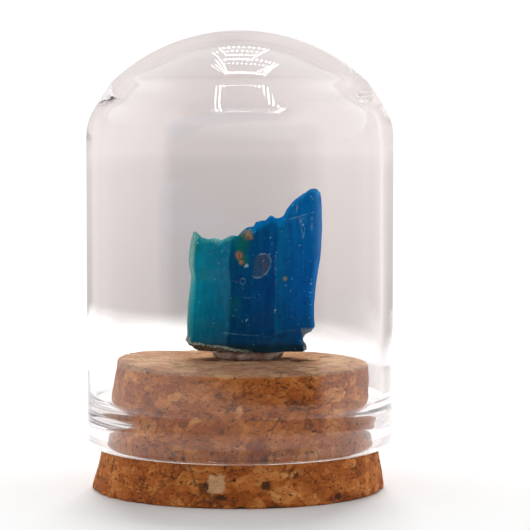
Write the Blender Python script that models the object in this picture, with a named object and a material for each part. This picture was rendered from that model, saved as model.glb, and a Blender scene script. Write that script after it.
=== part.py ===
"""Blue opal specimen under a small glass dome that stands on a cork stopper.

Four separate pieces, in metres, +Z up and -Y to the front. The origin is the
middle of the cork's underside, the flat face that everything stands on.

  cork_base    tapered stopper: a foot below the glass and a plug inside it
  glass_dome   blown dome, open below, with a thick ring that grips the cork
  glue_pad     flat drop of clear glue on the cork
  blue_opal    upright chunk of opal, broken all round, glued on the pad
"""

import math

import bmesh
import bpy
import numpy as np

MM = 0.001
GAP = 0.25 * MM                    # kept between two pieces that touch

# Cork stopper: radii and heights of its outline, from the foot up
CORK_TOP = 12.35 * MM
CORK_FOOT_RADIUS = 14.17 * MM
CORK_FLANGE_RADIUS = 13.56 * MM    # just under the glass rim
CORK_NECK_RADIUS = 12.80 * MM      # squeezed by the glass ring
CORK_PLUG_RADIUS = 12.75 * MM      # just above the glass ring
CORK_PLUG_Z = 7.45 * MM
CORK_TOP_RADIUS = 12.35 * MM
CORK_EDGE = 0.35 * MM              # rounding of the top edge
CORK_FOOT_EDGE = 0.20 * MM

# Glass dome, outside
DOME_RADIUS = 15.0 * MM
DOME_TOP = 44.8 * MM
DOME_RIM_Z = 4.1 * MM
CAP_RADIUS = 18.1 * MM             # the crown is part of a ball of this radius
CONE_TOP_RADIUS = 12.55 * MM       # below the crown a short cone ...
CONE_FOOT_RADIUS = 14.17 * MM      # ... runs into the shoulder
CONE_FOOT_Z = 37.25 * MM

# Glass dome, inside
MOUTH_RADIUS = 13.1 * MM           # bore of the gripping ring
RING_TOP_Z = 6.4 * MM              # the bore starts to widen here ...
RING_END_Z = 8.2 * MM              # ... and is full width here
BORE_RADIUS = 14.15 * MM
BORE_TOP_Z = 35.3 * MM
BORE_SHIFT = -0.25 * MM            # the bore is off centre, so one wall is thinner
BORE_SHIFT_Z = 12.0 * MM           # the whole shift is reached at this height
SHOULDER_INNER_RADIUS = 2.4 * MM   # hollow rounding at the top of the bore
RIDGE_RADIUS = 11.55 * MM          # ridge between the bore and the crown's hollow
RIDGE_Z = 38.3 * MM
CROWN_INNER_Z = 43.0 * MM
CROWN_INNER_RADIUS = 30.0 * MM
CROWN_FLAT_RADIUS = 9.5 * MM       # the flat arc ends here and a tighter one begins
CROWN_CORNER_RADIUS = 3.6 * MM
CROWN_CORNER_END = 20.0            # degrees above level where the tighter arc ends

# Glue pad
PAD_CENTRE = (0.9 * MM, 3.4 * MM)
PAD_HALF_SIZE = (3.5 * MM, 2.7 * MM)
PAD_HEIGHT = 0.39 * MM

# Opal. Heights in its outlines are above its underside, and s runs across it
# from its left side (0) to its right side (1).
OPAL_FOOT_Z = CORK_TOP + PAD_HEIGHT + 2 * GAP
OPAL_MIDDLE = (0.5, 3.1 * MM)      # s and y of the point that its rings close on
LEFT_SIDE = (                      # height, x of the left side
    (0.0, -4.6), (0.7, -5.3), (1.4, -4.7), (3.1, -5.0), (5.1, -5.1),
    (7.6, -4.8), (9.4, -4.95), (11.7, -4.6),
)
RIGHT_SIDE = (                     # height, x of the right side
    (0.0, 5.9), (0.7, 6.6), (1.4, 6.1), (2.1, 6.4), (2.5, 7.2), (5.5, 7.25),
    (8.6, 7.6), (10.5, 7.95), (13.5, 8.05), (15.4, 7.95), (16.0, 7.55),
)
SKYLINE = (                        # s, height of the broken top edge
    (0.0, 11.7), (0.07, 11.25), (0.24, 11.2), (0.30, 11.5), (0.36, 11.55),
    (0.42, 12.1), (0.49, 13.0), (0.59, 13.1), (0.62, 13.5), (0.66, 13.25),
    (0.71, 13.45), (0.76, 14.2), (0.80, 15.05), (0.88, 15.9), (0.95, 15.95),
    (1.0, 15.3),
)
PLAN = (                           # s, y of each upright edge, bow of the face after it
    (0.05, 1.6, -0.08), (0.33, -0.30, 0.12), (0.68, -0.55, -0.10), (0.94, 0.55, 0.05),
    (1.0, 1.8, 0.10), (0.97, 4.7, 0.20), (0.78, 6.1, 0.15), (0.46, 6.8, -0.20),
    (0.13, 5.8, 0.15), (0.0, 3.7, 0.08),
)
TOP_FALL = 0.13                    # the top falls towards the back by this slope

SIDE_TILT = 0.25                   # the steps in its sides run uphill towards the back
FOOT_INSET = 0.35 * MM             # its lower edge is chipped back by this much
OPAL_WIDTH = 12.6 * MM
OPAL_COLUMN_WIDTH = 0.62 * MM
OPAL_LEVELS = 19
CAP_RINGS = (0.82, 0.55, 0.25)     # rings of the top and the underside, as fractions
TURN_STEPS = 48


def arc(centre_r, centre_z, radius, start, end, steps):
    """Points (r, z) on an arc, from angle start to end in degrees above level."""
    angles = np.radians(np.linspace(start, end, steps + 1))
    return [(centre_r + radius * math.cos(a), centre_z + radius * math.sin(a))
            for a in angles]


def make_material(name, colour, roughness, transmission=0.0, ior=1.5):
    """A Principled material with one colour, for one piece."""
    material = bpy.data.materials.new(name)
    material.use_nodes = True
    shader = material.node_tree.nodes["Principled BSDF"]
    shader.inputs["Base Color"].default_value = (*colour, 1.0)
    shader.inputs["Roughness"].default_value = roughness
    shader.inputs["Metallic"].default_value = 0.0
    shader.inputs["Transmission Weight"].default_value = transmission
    shader.inputs["IOR"].default_value = ior
    return material


def finish_object(name, bm, material, sharp_angle):
    """Turn a bmesh into a named object, smooth apart from edges past sharp_angle."""
    bmesh.ops.recalc_face_normals(bm, faces=bm.faces)
    mesh = bpy.data.meshes.new(name)
    bm.to_mesh(mesh)
    bm.free()
    mesh.shade_smooth()
    mesh.set_sharp_from_angle(angle=math.radians(sharp_angle))
    mesh.materials.append(material)
    piece = bpy.data.objects.new(name, mesh)
    bpy.context.scene.collection.objects.link(piece)
    return piece


def turned(profile):
    """Spin a profile of (r, z) points, which starts and ends on the axis, into a solid."""
    bm = bmesh.new()
    verts = [bm.verts.new((r, 0.0, z)) for r, z in profile]
    edges = [bm.edges.new(pair) for pair in zip(verts, verts[1:])]
    bmesh.ops.spin(bm, geom=verts + edges, cent=(0, 0, 0), axis=(0, 0, 1),
                   angle=math.tau, steps=TURN_STEPS, use_merge=True)
    bmesh.ops.remove_doubles(bm, verts=bm.verts, dist=1e-6)
    return bm


def make_cork_base():
    """The stopper: eased foot, cone up to the rim, a seat for it, plug, rounded top."""
    rim_radius = (DOME_RADIUS - MOUTH_RADIUS) / 2
    rim_centre = (DOME_RADIUS - rim_radius, DOME_RIM_Z + rim_radius)
    seat_radius = rim_radius + (MOUTH_RADIUS - CORK_NECK_RADIUS)
    seat_start = 360 - math.degrees(
        math.acos((CORK_FLANGE_RADIUS - rim_centre[0]) / seat_radius))
    profile = [(0.0, 0.0)]
    profile += arc(CORK_FOOT_RADIUS - CORK_FOOT_EDGE, CORK_FOOT_EDGE, CORK_FOOT_EDGE,
                   -90, 0, 3)
    profile += arc(*rim_centre, seat_radius, seat_start, 180, 5)
    profile += [(CORK_NECK_RADIUS, RING_TOP_Z), (CORK_PLUG_RADIUS, CORK_PLUG_Z)]
    profile += arc(CORK_TOP_RADIUS - CORK_EDGE, CORK_TOP - CORK_EDGE, CORK_EDGE, 0, 90, 4)
    profile += [(0.0, CORK_TOP)]
    material = make_material("pressed_cork", (0.36, 0.18, 0.08), 0.85)
    return finish_object("cork_base", turned(profile), material, 40)


def dome_outside():
    """Outline of the glass from the crown down to the rim: ball, cone, shoulder, wall."""
    cap_centre = DOME_TOP - CAP_RADIUS
    cap_end = math.degrees(math.acos(CONE_TOP_RADIUS / CAP_RADIUS))
    cap = arc(0.0, cap_centre, CAP_RADIUS, 90, cap_end, 9)
    lean = math.atan2(CONE_FOOT_RADIUS - CONE_TOP_RADIUS, cap[-1][1] - CONE_FOOT_Z)
    shoulder_radius = (DOME_RADIUS - CONE_FOOT_RADIUS) / (1 - math.cos(lean))
    shoulder_z = CONE_FOOT_Z - shoulder_radius * math.sin(lean)
    shoulder = arc(DOME_RADIUS - shoulder_radius, shoulder_z, shoulder_radius,
                   math.degrees(lean), 0, 4)
    cap[0] = (0.0, DOME_TOP)
    return cap + shoulder


def dome_inside():
    """Outline of the bore from the mouth up: ring, wall, hollow shoulder, ridge, crown."""
    swell = [(MOUTH_RADIUS + (BORE_RADIUS - MOUTH_RADIUS) * (0.5 - 0.5 * math.cos(math.pi * t)),
              RING_TOP_Z + (RING_END_Z - RING_TOP_Z) * t) for t in np.linspace(0, 1, 6)]
    shoulder = arc(BORE_RADIUS - SHOULDER_INNER_RADIUS, BORE_TOP_Z, SHOULDER_INNER_RADIUS,
                   0, 85, 5)
    flat_centre = CROWN_INNER_Z - CROWN_INNER_RADIUS
    flat_end = math.degrees(math.acos(CROWN_FLAT_RADIUS / CROWN_INNER_RADIUS))
    flat = arc(0.0, flat_centre, CROWN_INNER_RADIUS, flat_end, 90, 5)
    step_back = CROWN_INNER_RADIUS - CROWN_CORNER_RADIUS
    corner_centre = (step_back * math.cos(math.radians(flat_end)),
                     flat_centre + step_back * math.sin(math.radians(flat_end)))
    corner = arc(*corner_centre, CROWN_CORNER_RADIUS, CROWN_CORNER_END, flat_end, 4)
    flat[-1] = (0.0, CROWN_INNER_Z)
    return swell + shoulder + [(RIDGE_RADIUS, RIDGE_Z)] + corner + flat[1:]


def make_glass_dome():
    """The dome: one outline down the outside, round the rim and up the inside, turned."""
    rim_radius = (DOME_RADIUS - MOUTH_RADIUS) / 2
    rim = arc(DOME_RADIUS - rim_radius, DOME_RIM_Z + rim_radius, rim_radius, 0, -180, 8)
    inside = dome_inside()
    bm = turned(dome_outside() + rim + inside)
    shift_bore(bm, inside)
    material = make_material("clear_glass", (0.95, 0.96, 0.96), 0.02, 1.0, 1.5)
    return finish_object("glass_dome", bm, material, 40)


def shift_bore(bm, inside):
    """Move the bore's points sideways, from nothing at the ring to BORE_SHIFT above it."""
    radii = {(round(r, 6), round(z, 6)) for r, z in inside}
    for vert in bm.verts:
        ring = (round(math.hypot(vert.co.x, vert.co.y), 6), round(vert.co.z, 6))
        if ring in radii:
            rise = (vert.co.z - RING_TOP_Z) / (BORE_SHIFT_Z - RING_TOP_Z)
            vert.co.x += BORE_SHIFT * min(max(rise, 0.0), 1.0)


def lofted(rings, low_point, high_point):
    """A solid skinned over closed rings of points, with a fan to a point at each end."""
    bm = bmesh.new()
    low = bm.verts.new(low_point)
    high = bm.verts.new(high_point)
    loops = [[bm.verts.new(point) for point in ring] for ring in rings]
    count = len(loops[0])
    for lower, upper in zip(loops, loops[1:]):
        for i in range(count):
            j = (i + 1) % count
            bm.faces.new((lower[i], lower[j], upper[j], upper[i]))
    for i in range(count):
        j = (i + 1) % count
        bm.faces.new((low, loops[0][j], loops[0][i]))
        bm.faces.new((high, loops[-1][i], loops[-1][j]))
    return bm


def make_glue_pad():
    """A low drop, oval in plan, with a flat underside, a bulging side and a flat top."""
    angles = np.linspace(0, math.tau, 32, endpoint=False)
    base_z = CORK_TOP + GAP
    rings = []
    for turn in np.linspace(-1, 1, 7):
        spread = 0.90 + 0.10 * math.cos(turn * math.pi / 2)
        z = base_z + PAD_HEIGHT * (turn + 1) / 2
        wave = 1 + 0.03 * np.sin(3 * angles + 0.7)
        x = PAD_CENTRE[0] + PAD_HALF_SIZE[0] * spread * wave * np.cos(angles)
        y = PAD_CENTRE[1] + PAD_HALF_SIZE[1] * spread * wave * np.sin(angles)
        rings.append(np.column_stack((x, y, np.full_like(x, z))))
    bm = lofted(rings, (*PAD_CENTRE, base_z), (*PAD_CENTRE, base_z + PAD_HEIGHT))
    material = make_material("clear_glue", (0.75, 0.68, 0.62), 0.25, 0.5, 1.45)
    return finish_object("glue_pad", bm, material, 40)


def opal_plan():
    """s and y round the opal: its upright edges joined by faces that bow in or out."""
    corners = np.array([(s * OPAL_WIDTH, y * MM, bow * MM) for s, y, bow in PLAN])
    stretches = []
    for here, after in zip(corners, np.roll(corners, -1, axis=0)):
        run = after[:2] - here[:2]
        length = np.linalg.norm(run)
        outward = np.array((run[1], -run[0])) / length
        count = max(2, round(length / OPAL_COLUMN_WIDTH))
        t = np.linspace(0, 1, count, endpoint=False)[:, None]
        stretches.append(here[:2] + run * t + outward * here[2] * np.sin(math.pi * t))
    x, y = np.concatenate(stretches).T
    return x / OPAL_WIDTH, y


def opal_x(s, y, height):
    """x of the place s across the opal, between its left and right sides at a height."""
    level = height - SIDE_TILT * (y - OPAL_MIDDLE[1])
    left = np.interp(level, *(np.array(LEFT_SIDE).T * MM))
    right = np.interp(level, *(np.array(RIGHT_SIDE).T * MM))
    return left + (right - left) * s


def opal_top(s, y):
    """Height of the broken top at s and y: the skyline, falling back, with low ripples."""
    edge_s, edge_height = np.array(SKYLINE).T
    ripple = 0.12 * MM * np.sin(31 * s + 900 * y) * np.sin(2100 * y - 9 * s)
    fall = TOP_FALL * (y - PLAN[1][1] * MM)
    return np.interp(s, edge_s, edge_height * MM) - fall + ripple


def opal_ring(s, y, fraction):
    """Points of the ring that lies at a fraction of the way up the opal's side."""
    height = opal_top(s, y) * fraction
    outward = np.sign(y - OPAL_MIDDLE[1])
    wave = 0.10 * MM * np.sin(430 * height + 7 * s) * math.sin(math.pi * fraction)
    inset = FOOT_INSET * math.exp(-25 * fraction)
    y_side = y + outward * (wave - inset)
    return np.column_stack((opal_x(s, y, height), y_side, OPAL_FOOT_Z + height))


def opal_cap(s, y, fraction, on_top):
    """Points of a ring drawn in towards the opal's middle, on its top or underside."""
    s_in = OPAL_MIDDLE[0] + (s - OPAL_MIDDLE[0]) * fraction
    y_in = OPAL_MIDDLE[1] + (y - OPAL_MIDDLE[1]) * fraction
    height = opal_top(s_in, y_in) if on_top else np.zeros_like(s_in)
    return np.column_stack((opal_x(s_in, y_in, height), y_in, OPAL_FOOT_Z + height))


def make_blue_opal():
    """The opal: rings up its sides, drawn in to a point on the top and the underside."""
    s, y = opal_plan()
    rings = [opal_cap(s, y, fraction, False) for fraction in reversed(CAP_RINGS)]
    rings += [opal_ring(s, y, fraction) for fraction in np.linspace(0, 1, OPAL_LEVELS)]
    rings += [opal_cap(s, y, fraction, True) for fraction in CAP_RINGS]
    middle = (np.array([OPAL_MIDDLE[0]]), np.array([OPAL_MIDDLE[1]]))
    low_point = opal_cap(*middle, 0.0, False)[0]
    high_point = opal_cap(*middle, 0.0, True)[0]
    material = make_material("blue_opal_stone", (0.01, 0.16, 0.30), 0.25)
    return finish_object("blue_opal", lofted(rings, low_point, high_point), material, 32)


def main():
    """Clear the scene, then make the four pieces where they stand."""
    for old in list(bpy.data.objects):
        bpy.data.objects.remove(old, do_unlink=True)
    make_cork_base()
    make_glass_dome()
    make_glue_pad()
    make_blue_opal()


main()
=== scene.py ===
"""Blue opal specimen under a small glass dome on a cork stopper: shapes and finishes.

Every piece is a closed grid of rings worked out with numpy in the frame of the
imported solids, in metres, +Z up and -Y to the front. Heights and outlines follow
the driving sizes of the solids, and what the solids leave out is added here: the
granules and pits of the cork, the waves of the blown glass, the broken faces,
chips and crust of the opal, and the bulge of the glue.
"""

import itertools
import math

import bpy
import mathutils
import numpy as np
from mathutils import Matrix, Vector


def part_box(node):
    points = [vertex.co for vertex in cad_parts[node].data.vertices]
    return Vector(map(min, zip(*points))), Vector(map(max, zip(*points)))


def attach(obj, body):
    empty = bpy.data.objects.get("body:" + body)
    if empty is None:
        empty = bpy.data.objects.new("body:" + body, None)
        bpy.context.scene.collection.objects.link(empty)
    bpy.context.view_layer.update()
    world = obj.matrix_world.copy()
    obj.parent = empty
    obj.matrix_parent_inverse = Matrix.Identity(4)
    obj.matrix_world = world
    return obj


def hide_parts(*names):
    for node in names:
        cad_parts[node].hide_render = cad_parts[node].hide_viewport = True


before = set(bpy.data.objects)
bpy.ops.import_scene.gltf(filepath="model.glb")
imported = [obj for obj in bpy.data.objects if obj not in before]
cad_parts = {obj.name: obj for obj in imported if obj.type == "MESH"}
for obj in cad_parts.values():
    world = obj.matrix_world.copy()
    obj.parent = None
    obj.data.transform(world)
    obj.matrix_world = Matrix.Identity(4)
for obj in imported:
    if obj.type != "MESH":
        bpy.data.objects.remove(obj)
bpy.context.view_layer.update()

MM = 0.001

# ---------------------------------------------------------------- sizes from the frame
dome_low, dome_high = (np.array(corner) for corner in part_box("glass_dome"))
cork_low, cork_high = (np.array(corner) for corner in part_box("cork_base"))
opal_low, opal_high = (np.array(corner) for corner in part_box("blue_opal"))

DOME_RADIUS = (dome_high[0] - dome_low[0]) / 2
DOME_TOP = dome_high[2]
DOME_RIM_Z = dome_low[2]
CORK_TOP = cork_high[2]
CORK_FOOT_RADIUS = (cork_high[0] - cork_low[0]) / 2
OPAL_FOOT_Z = opal_low[2]

# ---------------------------------------------------------------- camera, floor and light
CAMERA_DISTANCE = 238.4 * MM
CAMERA_HEIGHT = 37.6 * MM
CAMERA_PITCH = math.radians(3.78)
CAMERA_YAW = math.radians(0.59)
CAMERA_LENS = 165.2                # mm on a 36 mm sensor

FLOOR_CENTRE = (-60 * MM, 38 * MM, 0)
FLOOR_RADIUS = 145 * MM            # the pale round table ends here, softly
FLOOR_FADE = 32 * MM
FLOOR_GREY = (0.86, 0.86, 0.86, 1)
FLOOR_RINGS, FLOOR_COLUMNS = 32, 96

PANEL_PLACE = (20 * MM, 340 * MM, 260 * MM)
PANEL_AIM = (0, 0, 20 * MM)
PANEL_SIZE = 200 * MM
PANEL_WATTS = 1.78
GLASS_BOUNCES = 64

TENT_BACK = 0.70                   # radiance of each side of the tent, as glass sees it
TENT_BACK_RISE = 2.2               # and how fast the back's rises with height
TENT_BACK_EDGES = 0.14             # it is brighter by this share a little way to each side
TENT_SIDE = 1.12
TENT_CEILING = 0.50
TENT_OPENING = 0.02
TENT_TINT = (1.0, 0.915, 0.895)
LAMP_LEVEL = 30.0
LAMP_FRAMES = (                    # middle and half size, x and y for each unit of height,
    ((0.045, 0.32), (0.175, 0.15), 0.035, 7.0),    # widening, and half the number of lamps
    ((0.020, 0.70), (0.130, 0.15), 0.030, 5.0),
    ((0.120, -0.50), (0.390, 0.13), 0.0, 8.0),
)
LAMP_SLANT = 0.2                   # a frame shifts sideways by this share of its widening
TENT_LIGHT_FRONT = 0.11            # radiance of the tent as matt surfaces see it
TENT_LIGHT_SIDE = 2.00
TENT_LIGHT_LEAN = 0.12             # its right side is brighter, its left dimmer by this share
TENT_LIGHT_BACK = 0.42
TENT_LIGHT_ABOVE = 0.71
TENT_LIGHT_TINT = (1.0, 0.995, 0.99)
TENT_SEEN = (1.05, 1.05, 1.05)     # the tent as the camera sees it: white

# ---------------------------------------------------------------- glass
CAP_RADIUS = 18.1 * MM
CONE_TOP_RADIUS = 12.55 * MM
CONE_FOOT_RADIUS = 14.17 * MM
CONE_FOOT_Z = 37.25 * MM
MOUTH_RADIUS = 13.1 * MM
RING_TOP_Z = 6.4 * MM
RING_END_Z = 9.2 * MM
BORE_SHIFT = -0.25 * MM
BORE_SHIFT_Z = 12.0 * MM
WALL_START_Z = 30.0 * MM
CROWN_DEPTH = 1.0 * MM             # the glass of the crown, out to CROWN_EDGE from its axis
CROWN_EDGE = 11.1 * MM
INNER_SHOULDER = (                 # r and z of the hollow's shoulder below it, and its wall
    (11.65, 39.3), (11.82, 38.85), (11.95, 38.4), (12.25, 38.0), (12.8, 37.6),
    (13.4, 37.1), (13.8, 36.3), (14.05, 35.2), (14.15, 33.8), (14.15, 30.0),
)
SHOULDER_SOFTNESS = 60             # of the hollow's outline, in its FINE_POINTS points
FINE_POINTS = 1200
WAVE_DEPTH = 0.008 * MM            # slow waves of the inner surface,
STREAK_DEPTH = 0.003 * MM          # its streaks, and the waves of the outer one
GLASS_TINT = (0.992, 0.988, 0.988, 1)
GLASS_IOR = 1.49
DOME_COLUMNS, DOME_ROWS = 384, 216

# ---------------------------------------------------------------- cork
CORK_FLANGE_RADIUS = 13.56 * MM
CORK_NECK_RADIUS = 12.95 * MM
CORK_PLUG_RADIUS = 12.75 * MM
CORK_PLUG_Z = 7.45 * MM
CORK_TOP_RADIUS = 12.35 * MM
CORK_EDGE = 0.35 * MM
CORK_FOOT_EDGE = 0.20 * MM
CORK_SPREAD = 0.40 * MM            # its foot reaches this much further on the left,
CORK_LEAN = 0.38 * MM              # its top sits this much to the right,
CORK_LIFT = 0.45 * MM              # and rises this much at its left edge
GRANULE_SIZE = (2.0 * MM, 2.0 * MM, 1.2 * MM)
FINE_GRANULE_SIZE = (0.9 * MM, 0.9 * MM, 0.6 * MM)
GRANULE_BEND = 0.34 * MM           # how far noise bends the cells of the granules
PIT_SPACING = 1.3 * MM
PIT_FROM = 0.70                    # cells whose number is above this hold a pit
GRANULE_STEP = 0.045               # relief in millimetres: high against low granules,
FINE_STEP = 0.020
CREVICE_DEPTH = 0.060              # the crevices between them,
FINE_CREVICE_DEPTH = 0.016
PIT_DEPTH = 0.15                   # pits and chips,
CORK_ROUGHNESS = 0.018             # fine roughness,
LIGHT_RISE = 0.05                  # the light granule, the dark one and the painted shadow by the light one,
DARK_DEPTH = 0.10
FOOT_WEAR = 0.12                   # and the worn lower edge
CORK_COLUMNS, CORK_ROWS = 576, 168
# The cork in the glass is painted paler and pinker than its foot, a painted sheen of the glass
# over it; its top is painted paler still and tinted: painted light from above.
CORK_FOOT_SHADE = (0.88, 0.76, 0.66)   # its brown is multiplied by these, below the rim,
CORK_PLUG_PAINTED_SHEEN = (1.10, 0.98, 0.91)   # in the glass
CORK_TOP_SHADE = (0.82, 0.88, 0.97)    # and on its top,
CORK_TOP_PAINTED_LIGHT = (0.74, 0.55, 0.43)     # which is paler
CORK_CHIPS = (                     # middle and radii of single marks, in millimetres
    ((-0.53, -14.0, 2.68), (0.20, 0.6, 0.20)), ((9.3, -10.4, 0.60), (0.30, 0.8, 0.35)),
    ((5.9, 1.0, 12.35), (1.45, 1.0, 0.5)), ((-3.1, 1.6, 12.35), (0.9, 0.7, 0.5)),
    ((-11.4, 3.9, 12.35), (0.5, 0.5, 0.4)), ((3.2, -9.5, 12.35), (0.5, 0.4, 0.4)),
    ((1.5, -6.0, 12.35), (0.4, 0.3, 0.4)), ((3.0, -6.6, 12.35), (0.3, 0.3, 0.4)),
    ((-2.5, -10.5, 12.35), (0.3, 0.3, 0.4)), ((6.5, -5.0, 12.35), (0.5, 0.4, 0.4)),
    ((-6.5, -3.0, 12.35), (0.4, 0.5, 0.4)), ((8.5, 4.5, 12.35), (0.5, 0.6, 0.4)),
)
CORK_LIGHT = (
    ((-2.25, -14.0, 2.30), (0.95, 1.2, 0.98)),
)
# a dark granule, then the painted shadow along the light granule's left and lower edges
CORK_DARK_AND_SHADOW = (
    ((2.40, -14.0, 2.16), (0.50, 0.8, 0.52)), ((-3.15, -14.0, 2.2), (0.18, 0.8, 0.6)),
    ((-1.9, -14.0, 1.05), (0.7, 0.8, 0.18)),
)

# ---------------------------------------------------------------- opal
OPAL_MIDDLE = (0.5, 3.1 * MM)      # s and y of the point that its rings close on
OPAL_WIDTH = 12.6 * MM
OPAL_HEIGHT = 16 * MM              # its colours are placed by shares of this height
LEFT_SIDE = (                      # height, x of the left side, in millimetres
    (0.0, -4.0), (0.15, -4.4), (0.45, -4.85), (0.78, -5.35), (1.45, -5.15),
    (2.75, -5.18), (4.2, -5.12), (6.4, -4.86), (7.25, -4.78), (8.4, -5.05),
    (9.6, -5.0), (10.8, -4.8), (11.7, -4.5),
)
RIGHT_SIDE = (                     # height, x of the right side
    (0.0, 6.2), (0.5, 6.84), (0.93, 6.5), (1.45, 6.42), (1.95, 6.68), (2.23, 7.3),
    (2.6, 7.56), (3.5, 7.52), (4.9, 7.54), (6.4, 7.68), (9.3, 8.10), (12.5, 8.32),
    (14.4, 8.28), (15.3, 8.22), (15.8, 8.12),
)
SKYLINE = (                        # s, height of the broken top edge
    (0.0, 12.2), (0.015, 12.15), (0.056, 11.7), (0.09, 11.35), (0.18, 11.3),
    (0.25, 11.2), (0.29, 11.45), (0.38, 11.50), (0.40, 11.9), (0.446, 12.25),
    (0.498, 12.35), (0.52, 12.85), (0.595, 13.05), (0.635, 13.5), (0.669, 13.25),
    (0.721, 13.4), (0.75, 14.0), (0.789, 14.7), (0.845, 15.35), (0.90, 15.85),
    (0.925, 16.0), (0.98, 16.05), (1.0, 15.85),
)
PLAN = (                           # s, y of each upright edge, bow of the face after it
    (0.05, 1.3, -0.08), (0.33, -0.25, 0.10), (0.68, -0.50, -0.22), (0.965, 0.45, 0.03),
    (1.0, 1.5, 0.10), (0.97, 4.7, 0.20), (0.78, 6.1, 0.15), (0.46, 6.8, -0.20),
    (0.13, 5.8, 0.15), (0.0, 3.7, 0.08),
)
EDGE_LEAN = 0.0042                 # the upright edges lean left, by this share of the width
EDGE_LEAN_LEVEL = 4.5              # for each millimetre above this height
TOP_FALL = 0.13                    # the top falls towards the back by this slope
SIDE_TILT = 0.12                   # the steps in its sides run uphill towards the back
FOOT_INSET = 0.35 * MM
TOP_RIPPLE = 0.10 * MM             # waves and small breaks of its top,
TOP_BREAKS = 0.07 * MM             # and waves of its sides
SIDE_WAVE = 0.06 * MM
LINE_DEPTH = 0.008                 # relief in millimetres: fine upright lines,
FACE_SWELL = 0.04                  # slow swellings of its faces,
BREAK_DEPTH = 0.06                 # the broken top and underside,
CRUST_DEPTH = 0.09                 # the crust's grains,
MATRIX_RISE = 0.09                 # and the marks
PALE_DEPTH = 0.012
DISH_DEPTH = 0.10
OPAL_COLUMNS, OPAL_SIDE_ROWS, OPAL_CAP_ROWS = 400, 188, 24

# Marks on its front faces: x and height above its foot, then sizes, in millimetres
ROUND_MARK = (2.12, 8.59)          # a small round break
ROUND_MARK_SIZE = (1.0, 1.24)
ROUND_MARK_LEAN = 0.25
MATRIX_SPOTS = (                   # x, height, radius, how brown (0) or olive (1)
    (0.89, 11.66, 0.60, 0.7), (0.02, 9.60, 0.50, 0.1), (0.26, 8.98, 0.30, 0.3),
    (4.52, 7.28, 0.24, 1.0), (1.22, 11.35, 0.30, 0.3),
)
GREEN_CLOUDS = (                   # x, height, half width, half height, strength
    (0.35, 10.7, 0.95, 1.5, 0.9), (0.45, 9.1, 0.85, 0.8, 0.9), (-3.4, 7.9, 0.75, 0.9, 0.35),
    (-0.49, 4.55, 0.85, 1.2, 0.35), (4.5, 7.3, 0.40, 0.45, 0.6), (-4.1, 10.2, 0.5, 1.0, 0.5),
)
# pale spots: partly chips, partly painted glints
PALE_SPOTS_AND_GLINTS = (                     # x, height, radius
    (0.80, 8.62, 0.22), (0.62, 8.52, 0.14), (0.74, 3.21, 0.10), (0.86, 3.30, 0.05),
    (3.58, 4.22, 0.09), (3.52, 4.0, 0.05), (-4.05, 10.75, 0.10), (-1.9, 8.75, 0.07),
    (3.1, 11.35, 0.07), (3.05, 9.75, 0.07), (5.25, 7.25, 0.06), (5.1, 6.1, 0.05),
    (-2.3, 10.9, 0.13), (-2.05, 10.95, 0.09), (-2.6, 10.95, 0.08), (-1.6, 10.0, 0.06),
    (6.33, 12.55, 0.12), (6.42, 11.62, 0.08), (6.15, 12.9, 0.07), (6.5, 12.2, 0.07),
    (7.15, 6.75, 0.10), (7.1, 5.9, 0.08), (7.0, 5.45, 0.06), (7.2, 7.15, 0.06),
    (2.4, 9.1, 0.08), (-3.9, 4.9, 0.05), (1.9, 5.3, 0.05), (5.9, 2.75, 0.06),
)
SCRATCHES = (                      # x, height of both ends, half width, strength
    ((4.89, 13.09), (7.50, 13.82), 0.030, 0.7), ((5.76, 14.55), (5.69, 13.68), 0.045, 0.8),
    ((5.98, 13.17), (6.70, 13.17), 0.030, 0.4), ((5.98, 13.17), (6.34, 11.20), 0.035, 0.6),
    ((6.70, 13.17), (6.34, 11.20), 0.030, 0.5), ((7.21, 13.23), (7.21, 11.93), 0.075, 0.55),
    ((7.10, 15.3), (7.35, 15.05), 0.035, 0.7), ((-0.9, 7.25), (-0.15, 6.98), 0.030, 0.5),
    ((0.38, 6.72), (0.45, 6.35), 0.035, 0.6), ((3.60, 9.6), (3.55, 8.1), 0.035, 0.45),
    ((3.55, 8.1), (3.62, 6.6), 0.025, 0.3), ((-1.51, 1.95), (0.9, 1.75), 0.030, 0.5),
    ((0.9, 1.75), (3.14, 1.61), 0.025, 0.4), ((-0.06, 5.53), (1.2, 5.40), 0.025, 0.30),
    ((1.2, 5.40), (2.12, 5.50), 0.025, 0.35), ((-1.7, 9.2), (-1.1, 9.25), 0.030, 0.5),
    ((-1.75, 10.05), (-1.2, 10.1), 0.030, 0.5), ((-3.3, 10.4), (-3.1, 9.7), 0.025, 0.3),
    ((0.2, 10.3), (0.35, 9.9), 0.03, 0.5), ((5.0, 3.6), (5.6, 3.3), 0.025, 0.3),
)
SCRATCH_STRENGTH = 0.65
LOOP_MARK = (0.38, 7.06, 0.27)     # x, height and radius of a small ring-shaped scratch

# ---------------------------------------------------------------- glue
PAD_CENTRE = (0.9 * MM, 3.4 * MM)
PAD_HALF_SIZE = (3.5 * MM, 2.7 * MM)
PAD_BEAD = (5.35, 0.35, 0.07)      # its angle and width in radians, and its share of the size
PAD_ROWS, PAD_CAP_ROWS, PAD_COLUMNS = 44, 10, 192


# ================================================================ arrays
def smooth(value, low, high):
    """Rises from 0 at low to 1 at high along the curve 3t^2 - 2t^3."""
    t = np.clip((value - low) / (high - low), 0.0, 1.0)
    return t * t * (3 - 2 * t)


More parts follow.
